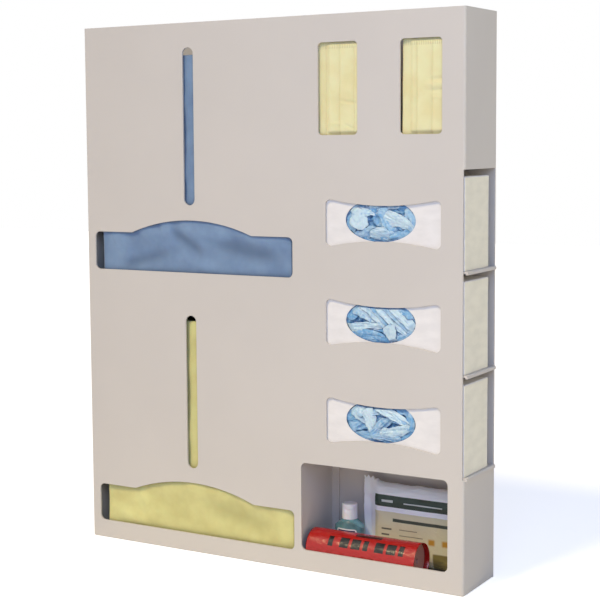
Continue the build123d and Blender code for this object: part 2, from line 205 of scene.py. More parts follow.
def tinted(tree, base, shade, amount, spread_mm, stretch=(1, 1, 1)):
    """A colour that drifts between a base and a shade, over patches of a given size."""
    scale = per_metre(spread_mm)
    drift = add_node(tree, "TexNoise", {"Scale": scale, "Detail": 3.0, "Vector": place(tree, stretch)})
    share = add_node(tree, "MapRange", {0: drift, 1: 0.35, 2: 0.65, 3: 0.0, 4: amount})
    return add_node(tree, "Mix", {0: share, 6: base, 7: shade}, data_type="RGBA").outputs[2]


def within(tree, source, low, high, soft):
    """1 where a value lies between two limits and 0 outside them, with an edge of a given width."""
    off = add_node(tree, "Math", {0: source, 1: (low + high) / 2}, operation="SUBTRACT")
    size = add_node(tree, "Math", {0: off}, operation="ABSOLUTE")
    half = (high - low) / 2
    return add_node(tree, "MapRange", {0: size, 1: half - soft / 2, 2: half + soft / 2, 3: 1.0, 4: 0.0})


def box_mask(tree, point, low, high, soft_mm):
    """1 inside a box in X and Z, given as two corners in metres, and 0 outside it."""
    across = within(tree, point.outputs[0], low[0], high[0], soft_mm * MM)
    up = within(tree, point.outputs[2], low[1], high[1], soft_mm * MM)
    return add_node(tree, "Math", {0: across, 1: up}, operation="MULTIPLY")


def abs_sheet():
    """Extruded ABS sheet, cut, folded and bonded: an even satin skin with fine grain and soft edges."""
    material, tree = new_material("extruded_abs_sheet")
    base = chosen("sheet")
    tone = tinted(tree, base, darker(base, 0.94), 0.5, 160)
    grain = add_node(tree, "TexNoise", {"Scale": per_metre(1.6), "Detail": 4.0, "Vector": place(tree)})
    edge = add_node(tree, "Bevel", {"Radius": 0.5 * MM}, samples=4)
    return surface(material, {"Base Color": tone, "Roughness": 0.46, "IOR": 1.53}, grain, 0.02, edge)


def carton_board(name, base):
    """Paperboard, printed plain: matt, with a fibre drift that is longer across than up."""
    material, tree = new_material(name)
    tone = tinted(tree, base, darker(base, 0.9), 0.7, 26, (1, 1, 2))
    fibres = {"Scale": per_metre(2.2), "Detail": 5.0, "Vector": place(tree, (1, 1, 3))}
    look = {"Base Color": tone, "Roughness": 0.62, "IOR": 1.45}
    return surface(material, look, add_node(tree, "TexNoise", fibres), 0.05)


def spunbond(name, base, shade, spread_mm, welds=None):
    """Spunbond polypropylene: matt fleece of fine filaments, pinned by a grid of pressed bond points.

    The bond points are drawn 2.4 mm apart, wider than real ones, so that they show. Painted shade darkens
    the cloth in narrow gaps and in the valleys of its creases; for masks, the welds between two heights are
    darker too.
    """
    material, tree = new_material(name)
    tone = tinted(tree, base, shade, 0.7, spread_mm)
    # Painted shade: the cloth turns towards a darker shade where ambient occlusion finds narrow gaps.
    near = add_node(tree, "AmbientOcclusion", {"Distance": 12 * MM}, samples=8).outputs["AO"]
    gap_shade = add_node(tree, "MapRange", {0: near, 1: 0.4, 2: 0.95, 3: 0.85, 4: 0.0})
    # Painted shade in the valleys of the front gown's creases, from the value its points carry.
    crease_shade = add_node(tree, "Attribute", attribute_name="crease_shade").outputs["Fac"]
    shade_and_welds = [(gap_shade, 0.6), (crease_shade, 0.62)]
    if welds:
        shade_and_welds.append((weld_marks(tree, *welds), 0.75))
    for share, depth in shade_and_welds:
        darkened = {0: share, 6: tone, 7: darker(shade, depth)}
        tone = add_node(tree, "Mix", darkened, data_type="RGBA").outputs[2]
    bonds = {"Scale": per_metre(2.4), "Randomness": 0.25, "Vector": place(tree)}
    fleece = {"Scale": per_metre(3.5), "Detail": 6.0, "Vector": place(tree)}
    both = {0: add_node(tree, "TexVoronoi", bonds), 1: add_node(tree, "TexNoise", fleece)}
    relief = add_node(tree, "Math", both, operation="ADD")
    look = {"Base Color": tone, "Roughness": 0.82, "IOR": 1.49, "Sheen Weight": 0.25, "Sheen Roughness": 0.5}
    look |= {"Subsurface Weight": 0.12, "Subsurface Scale": 1.2 * MM}
    return surface(material, look, relief, 0.09)


def weld_marks(tree, low, high):
    """Pressed weld of a mask's short end: a row of upright ticks of 2.6 mm pitch between two heights."""
    point = add_node(tree, "SeparateXYZ", {0: place(tree)})
    turns = add_node(tree, "Math", {0: point, 1: 2 * math.pi * per_metre(2.6)}, operation="MULTIPLY")
    tick = add_node(tree, "Math", {0: turns}, operation="SINE")
    inside = within(tree, point.outputs[2], low, high, 0.02 * MM)
    both = add_node(tree, "Math", {0: tick, 1: inside}, operation="MULTIPLY")
    return add_node(tree, "Math", {0: both, 1: 0.8}, operation="MULTIPLY", use_clamp=True)


def nitrile_film():
    """Dipped nitrile: thin, satin and finely creased, pale where stretched and partly with a painted sheen,
    with painted shade making it deep blue in its folds.
    """
    material, tree = new_material("dipped_nitrile")
    # Painted shade: deep blue where ambient occlusion finds folds. It partly stands for the deeper colour of
    # stacked film.
    near = add_node(tree, "AmbientOcclusion", {"Distance": 7 * MM}, samples=8).outputs["AO"]
    fold = add_node(tree, "MapRange", {0: near, 1: 0.3, 2: 0.85, 3: 0.95, 4: 0.0})
    uneven = {"Scale": per_metre(9), "Detail": 3.0, "Distortion": 1.2, "Vector": place(tree)}
    drift = add_node(tree, "Math", {0: add_node(tree, "TexNoise", uneven), 1: 0.5}, operation="SUBTRACT")
    # How pale each fold is: real for thinly stretched film, and partly a painted sheen.
    stretched = add_node(tree, "Attribute", attribute_name="pale_stretch_and_sheen").outputs["Fac"]
    uneven = {0: drift, 1: 1.6, 2: stretched}
    share = add_node(tree, "Math", uneven, operation="MULTIPLY_ADD", use_clamp=True)
    pale = {0: share, 6: chosen("nitrile"), 7: linear("#cde3ee")}
    deep = {0: fold, 6: add_node(tree, "Mix", pale, data_type="RGBA").outputs[2], 7: linear("#1c5796")}
    tone = add_node(tree, "Mix", deep, data_type="RGBA").outputs[2]
    creased = {"Scale": per_metre(5), "Detail": 5.0, "Distortion": 0.8, "Vector": place(tree)}
    look = {"Base Color": tone, "Roughness": 0.34, "IOR": 1.52}
    look |= {"Subsurface Weight": 0.1, "Subsurface Scale": 1.5 * MM}
    return surface(material, look, add_node(tree, "TexNoise", creased), 0.5)


def moulded_cap():
    """Injection-moulded polypropylene: milky, with a soft gloss and a slightly uneven flow."""
    material, tree = new_material("moulded_polypropylene")
    base = chosen("cap")
    look = {"Base Color": tinted(tree, base, darker(base, 0.93), 0.6, 9), "Roughness": 0.32, "IOR": 1.49}
    look |= {"Subsurface Weight": 0.3, "Subsurface Scale": 2 * MM}
    flow = add_node(tree, "TexNoise", {"Scale": per_metre(2.5), "Detail": 2.0, "Vector": place(tree)})
    edge = add_node(tree, "Bevel", {"Radius": 0.35 * MM}, samples=4)
    return surface(material, look, flow, 0.03, edge)


def filled_bottle():
    """Clear PET bottle full of tinted gel: a glossy skin over a colour that deepens in patches."""
    material, tree = new_material("gel_filled_pet")
    base = chosen("bottle")
    look = {"Base Color": tinted(tree, base, darker(base, 0.62), 0.9, 11), "Roughness": 0.12, "IOR": 1.575}
    look |= {"Subsurface Weight": 0.4, "Subsurface Scale": 6 * MM}
    look |= {"Coat Weight": 0.6, "Coat Roughness": 0.05}
    ripple = add_node(tree, "TexNoise", {"Scale": per_metre(9), "Detail": 1.0, "Vector": place(tree)})
    return surface(material, look, ripple, 0.12)


def set_finish(material, slot, *names):
    """Gives CAD nodes, or pieces of the scene, one material. The slot is not used."""
    for name in names:
        piece = nodes.get(name) or bpy.data.objects[name]
        piece.data.materials.clear()
        piece.data.materials.append(material)


def add_piece(name, points, faces, material, smooth=True, replaces=()):
    """Makes a piece from points and faces. It rides on the station and may stand for CAD nodes."""
    mesh = bpy.data.meshes.new(name)
    mesh.from_pydata(points, [], faces)
    mesh.validate()
    mesh.update()
    if smooth:
        mesh.shade_smooth()
    else:
        mesh.shade_flat()
    mesh.materials.append(material)
    piece = bpy.data.objects.new(name, mesh)
    bpy.context.scene.collection.objects.link(piece)
    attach(piece, STATION)
    if replaces:
        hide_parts(*replaces)
    return piece


def add_values(piece, name, values):
    """Gives each point of a piece a number that its material reads."""
    piece.data.attributes.new(name, "FLOAT", "POINT").data.foreach_set("value", values)


def net(columns, rows, start=0, loop=False):
    """Quads over a net of points that runs row by row within each column. A loop joins last row to first."""
    faces = []
    for column in range(columns - 1):
        for row in range(rows if loop else rows - 1):
            a, b = start + column * rows, start + (column + 1) * rows
            after = (row + 1) % rows
            faces.append((a + row, b + row, b + after, a + after))
    return faces


def two_layers(columns, rows):
    """Faces of two nets of points, one in front of the other, joined round their rim."""
    size = columns * rows
    faces = [face[::-1] for face in net(columns, rows)] + net(columns, rows, start=size)
    rim = [c * rows for c in range(columns)] + [(columns - 1) * rows + r for r in range(1, rows)]
    rim += [c * rows + rows - 1 for c in range(columns - 2, -1, -1)] + list(range(rows - 2, 0, -1))
    return faces + [(a, b, b + size, a + size) for a, b in zip(rim, rim[1:] + rim[:1])]


def wave(x, y, z):
    """Smooth noise of about -1 to 1, with humps about 1 wide."""
    return noise.noise(Vector((x, y, z)))


def rumple(x, y, z, size_mm, octaves=3):
    """Smooth noise of about -1 to 1 with humps of the given size."""
    return noise.fractal(Vector((x, y, z)) / (size_mm * MM), 1.0, 2.0, octaves)


def ease(value, low, high):
    """0 below low and 1 above high, smooth between them."""
    t = min(1.0, max(0.0, (value - low) / (high - low)))
    return t * t * (3 - 2 * t)


def crease(x, z, line):
    """Height of one crease, given as its two ends, its width and its depth, at a point on the cloth."""
    (x0, z0), (x1, z1), width, depth = line
    dx, dz = x1 - x0, z1 - z0
    long = math.hypot(dx, dz)
    along = ((x - x0) * dx + (z - z0) * dz) / long
    across = ((x - x0) * dz - (z - z0) * dx) / long
    fade = ease(along, -width, long * 0.3) * (1 - ease(along, long * 0.7, long + width))
    return depth * fade * math.exp(-((across / width) ** 2)) * (1 - 0.6 * across / width)


def folded_end(sizes, height, steps, front_steps):
    """Centreline of a folded gown's end view, as (y, z), whose last ply has its own number of steps.

    It starts at the inner free edge, goes round the inner bottom fold, over the top, round the outer
    bottom fold and up to the outer free edge, which is the gown's front.
    """
    pitch = sizes.gown_thickness / 4
    inner, outer = pitch / 2, pitch * 1.5
    foot = outer + sizes.gown_ply / 2
    turn = height - inner - sizes.gown_ply / 2
    around = 8 if front_steps > steps else 6

    def straight(y, low, high, parts=steps):
        return [(y, low + (high - low) * n / parts) for n in range(parts)]

    def bend(middle_y, middle_z, radius, begin, end):
        angles = [begin + (end - begin) * n / around for n in range(around)]
        return [(middle_y + radius * math.cos(a), middle_z + radius * math.sin(a)) for a in angles]

    path = straight(-inner, height - sizes.gown_free_end, foot)
    path += bend(0, foot, inner, math.pi, 2 * math.pi)
    path += straight(inner, foot, turn)
    path += bend((inner + outer) / 2, turn, inner, math.pi, 0)
    path += straight(outer, turn, foot)
    path += bend(0, foot, outer, 0, -math.pi)
    path += straight(-outer, foot, height, front_steps)
    return path + [(-outer, height)]


def sheet_points(path, stations, thickness, move):
    """Both sides of a cloth that follows a path at each station along X.

    move gives the shift of a point of the path, from its station and its number. Points run up one
    side of the cloth and back down the other, so that a loop of them is one end view.
    """
    count = len(path)
    points = []
    for x in stations:
        line = [Vector((x, y, z)) + move(x, y, z, n) for n, (y, z) in enumerate(path)]
        side = []
        for n, here in enumerate(line):
            ahead = line[min(n + 1, count - 1)] - line[max(n - 1, 0)]
            normal = Vector((0, -ahead.z, ahead.y)).normalized()
            side.append(normal * thickness / 2)
        points += [here + s for here, s in zip(line, side)]
        points += [here - s for here, s in zip(reversed(line), reversed(side))]
    return points


def closed_sheet(name, points, around, material, replaces, outward=True, shift=0):
    """A closed piece from end views of the same number of points, with rows of quads across its ends.

    outward says which way round the points run, and shift where in the view the rows of quads begin.
    """
    columns = len(points) // around
    faces = net(columns, around, loop=True)
    for first, flip in ((0, not outward), ((columns - 1) * around, outward)):
        for n in range(around // 2 - 1):
            corners = (n, n + 1, around - 2 - n, around - 1 - n)
            cap = tuple(first + (corner - shift) % around for corner in corners)
            faces.append(cap[::-1] if flip else cap)
    return add_piece(name, points, faces, material, replaces=replaces)


# Creases of the cloth that shows in the take-out windows, from the middle of a window's sill, in
# millimetres: the two ends of each, its half width, and its depth towards the viewer.
BLUE_CREASES = [
    ((-52, 86), (-40, 40), 7, 2.2),
    ((-96, 66), (-42, 34), 9, 1.8),
    ((-150, 60), (-120, 20), 12, 1.6),
    ((-40, 62), (18, 26), 8, -1.9),
    ((-16, 74), (70, 52), 13, 2.0),
    ((-44, 30), (-130, 8), 9, -1.5),
    ((30, 44), (150, 22), 13, -2.1),
    ((60, 70), (165, 46), 14, 1.5),
    ((-30, 20), (40, 4), 9, 1.4),
]
YELLOW_CREASES = [
    ((-120, 52), (-60, 12), 12, 1.2),
    ((-20, 80), (60, 60), 16, 1.0),
    ((20, 40), (140, 16), 15, -1.3),
    ((-160, 18), (-90, 4), 9, 1.5),
    ((80, 66), (160, 40), 14, 0.9),
]
# Height of a take-out window's sill over the foot of the gowns, and thickness of the case's sheet
WINDOW_SILL = 25 * MM
SHEET = 3 * MM


class STATION_OT_case(bpy.types.Operator):
    """Gives the folded and bonded sheets of the case their finish"""

    bl_idname = "station.case"
    bl_label = "Case"

    def execute(self, context):
        shelves = [name for name in nodes if name.startswith("glove_shelf")]
        walls = ["front_cover", "back_panel", "bottom_panel", "divider"]
        inner = ["gown_shelf", "mask_shelf", "mask_partition"]
        set_finish(abs_sheet(), "abs_sheet", *walls, *inner, *shelves)
        return {"FINISHED"}


def gown(name, material, creases, front, seed):
    """One folded gown in the place of its CAD node. The front one is meshed finely and wrinkled."""
    sizes = bpy.context.scene.station_sizes
    (left, right), (near, far), (foot, top) = spans(name)
    lean = math.atan2(far - near - sizes.gown_thickness, top - foot)
    height = (top - foot) / math.cos(lean) - 0.5 * MM
    steps, front_steps, columns = (20, 88, 150) if front else (14, 14, 26)
    path = folded_end(sizes, height, steps, front_steps)
    last_ply = len(path) - front_steps
    centre = (left + right) / 2 - 4 * MM
    room = near - spans("front_cover")[1][0] - SHEET - 0.4 * MM
    stray = 0 if front else random.Random(seed).uniform(0, 3) * MM
    crease_shades = []

    def front_ply(x, z):
        """Shift of a point of the front ply along Y, and how much painted shade its crease gets there, from
        0 to 1.

        The cloth fills half of the room behind the cover, and most of it towards the window's top.
        """
        u = (x - centre) / MM
        v = (z - WINDOW_SILL) / MM
        folds = sum(crease(u, v, line) for line in creases) * MM
        soft = sizes.gown_wrinkle * rumple(x, seed, z, 60, 3)
        soft += 0.9 * MM * rumple(x, seed + 5, 0.6 * z, 19, 3)
        spare = room + math.sin(lean) * z
        out = (0.5 + 0.4 * ease(v, 38, 72)) * spare + 2.0 * folds + soft
        out = min(spare + 0.8 * MM, max(-2.0 * MM, out))
        # Painted shade: a little on flat cloth, more in the crease valleys, none on the ridges.
        crease_shade = min(1.0, max(0.0, 0.12 - 0.3 * folds / MM))
        return -out * ease(z, 2 * MM, 22 * MM), crease_shade

    def move(x, y, z, n):
        free = ease(z, height - 40 * MM, height) if n >= last_ply or n < steps else 0.0
        edge = free * 1.3 * MM * rumple(x, seed, 0, 70, 2)
        shift = 0.3 * MM * rumple(x, 3.1, z, 90, 2) + 0.2 * MM * rumple(x, seed + 0.4 * n, z, 45, 2)
        crease_shade = 0.0
        if front and n >= last_ply:
            shift, crease_shade = front_ply(x, z)
        crease_shades.append(crease_shade)
        spread = 2.4 * MM * rumple(z, seed, 0.3 * n * MM, 80, 2) * (x - centre) / (right - left)
        return Vector((spread - stray, shift, edge))

    inset = 1.6 * MM
    stations = [left + inset + (right - left - 2 * inset) * n / (columns - 1) for n in range(columns)]
    points = sheet_points(path, stations, sizes.gown_ply, move)
    turn = Matrix.Rotation(-lean, 3, "X")
    base_y = near + sizes.gown_thickness / 2 * math.cos(lean)
    placed = [turn @ Vector((0, p.y, p.z)) + Vector((p.x, base_y, foot + 0.1 * MM)) for p in points]
    rise = min(p.z for p in placed) - foot
    placed = [p - Vector((0, 0, rise)) for p in placed]
    made_name = name.replace("gown_", "gown_cloth_")
    piece = closed_sheet(made_name, placed, 2 * len(path), material, (name,))
    if front:
        # The front gown's points carry the amount of painted crease shade that its material reads.
        ends = [crease_shades[n : n + len(path)] for n in range(0, len(crease_shades), len(path))]
        both_sides = [value for end in ends for value in end + end[::-1]]
        add_values(piece, "crease_shade", both_sides)
    return piece


class STATION_OT_gowns(bpy.types.Operator):
    """Folds the gowns of both bays from one length of cloth each"""

    bl_idname = "station.gowns"
    bl_label = "Gowns"

    def execute(self, context):
        bays = (("blue", "#6a84a8", BLUE_CREASES), ("yellow", "#ccc482", YELLOW_CREASES))
        for bay, shade, creases in bays:
            material = spunbond(f"{bay}_spunbond", chosen(f"{bay}_cloth"), linear(shade), 38)
            stack = sorted(name for name in nodes if name.startswith(f"{bay}_gown"))
            for seed, name in enumerate(stack, 1):
                gown(name, material, creases, seed == 1, seed * 7.3)
        return {"FINISHED"}


def pleated_path(sizes, width, steps):
    """Plan of a pleated mask, as (x, y): each pleat runs outwards and then drops back to the next."""
    pleats = 4
    path = []
    for pleat in range(pleats):
        for n in range(steps + 1):
            share = n / steps
            path.append(((pleat + share * 0.985) * width / pleats, sizes.mask_pleat * ease(share, 0, 1)))
    return path


def mask(side, number, material, node, front):
    """One pleated mask, standing on its short side.

    The front one leans on the back of the cover and swells a little in its window.
    """
    sizes = bpy.context.scene.station_sizes
    (left, right), (near, _), (foot, top) = spans(node)
    steps, rows = (16, 120) if front else (3, 9)
    forward, most_swell, cover_gap = 3.7 * MM, 2.6 * MM, 0.25 * MM
    path = pleated_path(sizes, right - left, steps)
    seed = number * 3.7 + (50 if side == "right" else 0)
    rest_y = near + number * sizes.mask_pitch + sizes.mask_ply / 2 + 0.4 * MM
    behind_cover = spans("front_cover")[1][0] + SHEET + cover_gap
    window = mask_window(side)
    points = []
    for row in range(rows):
        share = row / (rows - 1)
        z = foot + (top - foot) * share
        weld = ease(share, 0.93, 0.97) + 1 - ease(share, 0.03, 0.07)
        half = sizes.mask_ply / 2 * (1 - 0.5 * weld)
        for way, line in ((1, path), (-1, path[::-1])):
            for along, y in line:
                x = left + along + 0.6 * MM * rumple(z, seed, along, 60, 2)
                middle = rest_y + y * (1 - 0.75 * weld) + 0.25 * MM * rumple(along, seed, z, 40, 2)
                if front:
                    middle += mask_wrinkle(side, along / (right - left), share) - forward
                    swell = window_swell(window, x, z)
                    foremost = behind_cover - 2.5 * MM * swell + half
                    middle = max(middle - most_swell * swell, foremost)
                points.append((x, middle + way * half, z))
    name = f"mask_{side}_{number + 1:02d}"
    piece = closed_sheet(name, points, 2 * len(path), material, (node,), outward=False)
    return piece


# Soft wrinkles across the front masks, as shares of the mask's width and height
MASK_WRINKLES = {
    "left": [((0.45, 0.52), (0.82, 0.49), 0.012, -0.9), ((0.25, 0.33), (0.6, 0.335), 0.012, 0.8),
             ((0.55, 0.33), (0.8, 0.28), 0.01, -0.8), ((0.3, 0.56), (0.8, 0.6), 0.05, 0.6)],
    "right": [((0.4, 0.665), (0.95, 0.67), 0.014, -1.0), ((0.35, 0.575), (0.95, 0.585), 0.014, -1.2),
              ((0.3, 0.62), (0.9, 0.625), 0.02, 0.8), ((0.45, 0.53), (0.7, 0.52), 0.01, 0.5)],
}


def mask_window(side):
    """(left, right, foot, top) of the window in front of a mask stack."""
    first, pitch, wide, high, sill = (size * MM for size in (34.5, 127.2, 62, 129.2, 43.4))
    left = spans("divider")[0][1] + first + (pitch if side == "right" else 0)
    foot = spans("mask_stack_left")[2][0] + sill
    return left, left + wide, foot, foot + high


def window_swell(window, x, z):
    """How far inside its window a point of the front mask lies: 0 at the window's edge, 1 well inside."""
    left, right, foot, top = window
    corner = 6 * MM
    off_x = min(x - left, right - x)
    off_z = min(z - foot, top - z)
    inside = min(off_x, off_z)
    if off_x < corner and off_z < corner:
        inside = corner - math.hypot(corner - off_x, corner - off_z)
    return ease(inside, 1.0 * MM, 6 * MM)


def mask_wrinkle(side, across, up):
    """Depth of the front mask's wrinkles. Its edges curl in and out a little."""
    depth = sum(crease(across, up, line) for line in MASK_WRINKLES[side])
    curl = 1.4 * (1 - ease(across, 0.0, 0.25)) * ease(up, 0.55, 0.85) if side == "right" else 0
    sag = 0.5 * wave(across * 3, up * 5, 2.0 if side == "left" else 7.0)
    return (curl - depth + sag) * MM


class STATION_OT_masks(bpy.types.Operator):
    """Pleats the masks of both bays, one sheet each"""

    bl_idname = "station.masks"
    bl_label = "Masks"

    def execute(self, context):
        top = spans("mask_stack_left")[2][1]
        welds = (top - 12 * MM, top - 3 * MM)
        material = spunbond("yellow_mask_spunbond", chosen("mask_cloth"), linear("#e6daa2"), 30, welds)
        for side in ("left", "right"):
            node = f"mask_stack_{side}"
            near, far = spans(node)[1]
            count = 1 + round((far - near) / context.scene.station_sizes.mask_pitch - 0.8)
            for number in range(count):
                mask(side, number, material, node, number == 0)
        return {"FINISHED"}


class STATION_OT_cartons(bpy.types.Operator):
    """Finishes the board of the glove cartons and adds the flaps that close their open end"""

    bl_idname = "station.cartons"
    bl_label = "Glove cartons"

    def execute(self, context):
        material = carton_board("clay_coated_board", chosen("board"))
        flap_material = carton_board("uncoated_board", chosen("flap"))
        cartons = sorted(name for name in nodes if name.startswith("glove_carton"))
        set_finish(material, "carton_board", *cartons)
        for number, name in enumerate(cartons, 1):
            self.add_flap(name, number, flap_material)
        return {"FINISHED"}

    def add_flap(self, name, number, material):
        """The outer flap of the carton's right-hand end, glued down, whose free edge bows in a little."""
        (_, right), (near, far), (foot, top) = spans(name)
        thick = bpy.context.scene.station_sizes.board * 0.6
        columns, rows = 14, 40
        points = []
        for layer in (0, 1):
            for column in range(columns):
                across = column / (columns - 1)
                for row in range(rows):
                    up = row / (rows - 1)
                    bow = 2.2 * math.sin(math.pi * up) ** 0.7 + 0.5 * wave(up * 6, number * 5.1, 0)
                    lift = 0.25 * MM * across**2 * (0.6 + 0.4 * wave(up * 4, number, 3))
                    y = near + 0.6 * MM + (far - near - 1.4 * MM - bow * MM) * across
                    z = foot + 0.8 * MM + (top - foot - 2.2 * MM) * up
                    points.append((right + layer * thick + lift + 0.02 * MM, y, z))
        faces = two_layers(columns, rows)
        add_piece(f"carton_flap_{number}", points, faces, material, smooth=False)


# Folds of glove film that show in each torn oval, in millimetres and degrees from the oval's centre:
# across and up, half length, half width, turn, depth behind the foremost point, tilt along and
# across the fold, how far its far end is drawn to a point, and how pale it is, for stretched film and partly
# a painted sheen.
GLOVE_FOLDS = (
    (
        (-26, 14, 22, 7, -12, 4.0, 0.05, 0.3, 0.2, 0.8),
        (6, 19, 24, 6, 186, 3.4, 0.05, 0.3, 0.5, 0.7),
        (38, 17, 17, 9, 170, 5.4, -0.2, 0.3, 0.5, 0.0),
        (-46, -4, 16, 7, 80, 4.5, 0.15, 0.1, 0.3, 0.3),
        (-22, -19, 24, 7, 14, 4.0, -0.1, -0.3, 0.2, 0.45),
        (8, -21, 24, 7, -6, 3.0, 0.08, -0.3, 0.1, 0.75),
        (14, -2, 24, 8, -58, 2.8, 0.12, 0.3, 0.3, 0.35),
        (-33, 2, 14, 12, 62, 1.0, 0.12, -0.1, 0.25, 1.0),
        (30, -2, 25, 11, -24, 1.4, 0.06, -0.2, 0.7, 1.0),
        (48, 4, 18, 8, -76, 3.2, 0.1, 0.3, 0.1, 0.5),
        (36, -19, 22, 6, 18, 4.2, 0.1, -0.2, 0.1, 0.25),
    ),
    (
        (-42, 14, 15, 7, 60, 4.4, 0.1, 0.2, 0.1, 0.1),
        (-22, 12, 26, 9, -34, 3.0, 0.05, 0.22, 0.1, 0.7),
        (-8, 8, 36, 4.5, -38, 2.2, 0.02, 0.35, 0.1, 0.8),
        (2, 9, 38, 4, -41, 3.2, 0.02, 0.4, 0.1, 0.35),
        (12, 8, 38, 4, -43, 1.6, 0.02, 0.35, 0.1, 0.9),
        (22, 9, 38, 4, -42, 2.8, 0.02, 0.35, 0.1, 0.5),
        (33, 9, 34, 5.5, -38, 1.6, 0.02, 0.3, 0.2, 0.85),
        (45, 16, 22, 6, -24, 3.6, 0.02, 0.3, 0.2, 0.2),
        (-24, -8, 32, 6, 2, 1.8, 0.04, -0.3, 0.3, 0.95),
        (-20, -20, 28, 6, -4, 4.0, 0.02, -0.2, 0.2, 0.15),
        (18, -18, 15, 10, -58, 0.7, 0.1, -0.15, 0.65, 0.95),
        (40, -15, 20, 6, 32, 4.0, 0.02, -0.2, 0.2, 0.3),
    ),
    (
        (-34, 10, 22, 7, -32, 2.6, 0.1, 0.25, 0.3, 0.75),
        (-42, -8, 18, 7, 24, 3.8, 0.1, -0.2, 0.3, 0.2),
        (-8, 16, 30, 7, 4, 3.4, 0.05, 0.35, 0.3, 0.6),
        (4, -6, 24, 7, 48, 2.8, 0.1, -0.25, 0.4, 0.4),
        (-12, -2, 22, 9, -60, 1.0, 0.1, 0.2, 0.5, 1.0),
        (-16, -20, 26, 6, 6, 3.8, 0.05, -0.3, 0.1, 0.3),
        (20, 11, 30, 6, -30, 1.8, 0.04, 0.35, 0.3, 0.9),
        (32, 2, 26, 6, -24, 3.0, 0.04, 0.3, 0.5, 0.3),
        (24, -11, 24, 7, 18, 1.6, 0.04, -0.3, 0.3, 0.85),
        (47, 9, 17, 7, 80, 3.8, 0.1, 0.2, 0.2, 0.2),
        (10, -22, 22, 6, -6, 3.4, 0.1, -0.2, 0.1, 0.5),
    ),
)


def film_fold(row, front, middle, thick, seed):
    """One fold of film: a lens-shaped flap with a ridge along it, of two layers joined round the rim."""
    across, up, half_long, half_wide, degrees, deep, tilt_along, tilt_across, drawn, _ = row
    turn = math.radians(degrees)
    columns, rows = 48, 24
    points = []
    for layer in (0, 1):
        for column in range(columns):
            a = -1 + 2 * (column + 0.5) / columns
            taper = (1 - a * a) ** 0.3 * (1 - drawn * (a + 1) / 2)
            bend = 0.25 * half_wide * math.sin(a * 2.4 + seed)
            u = half_long * a + 0.6 * wave(a * 2.2, seed, 1.0)
            for n in range(rows):
                b = -1 + 2 * n / (rows - 1)
                v = 1.3 * half_wide * b * taper * (1 + 0.35 * wave(a * 3, b * 1.3, seed)) + bend
                ridge = 1.8 * max(0.0, 1 - 1.1 * abs(b - 0.45 * math.sin(a * 1.7 + seed))) * taper
                sharp = 1 - 2 * abs(wave(u / 13, v / 3.4, seed))
                ruck = 1.1 * sharp + 0.4 * wave(u / 3, v / 1.8, seed)
                behind = deep - ridge - ruck + tilt_along * u + tilt_across * v
                x = middle[0] + (across + u * math.cos(turn) - v * math.sin(turn)) * MM
                z = middle[1] + (up + u * math.sin(turn) + v * math.cos(turn)) * MM
                points.append((x, front + behind * MM + layer * thick, z))
    return points, two_layers(columns, rows)


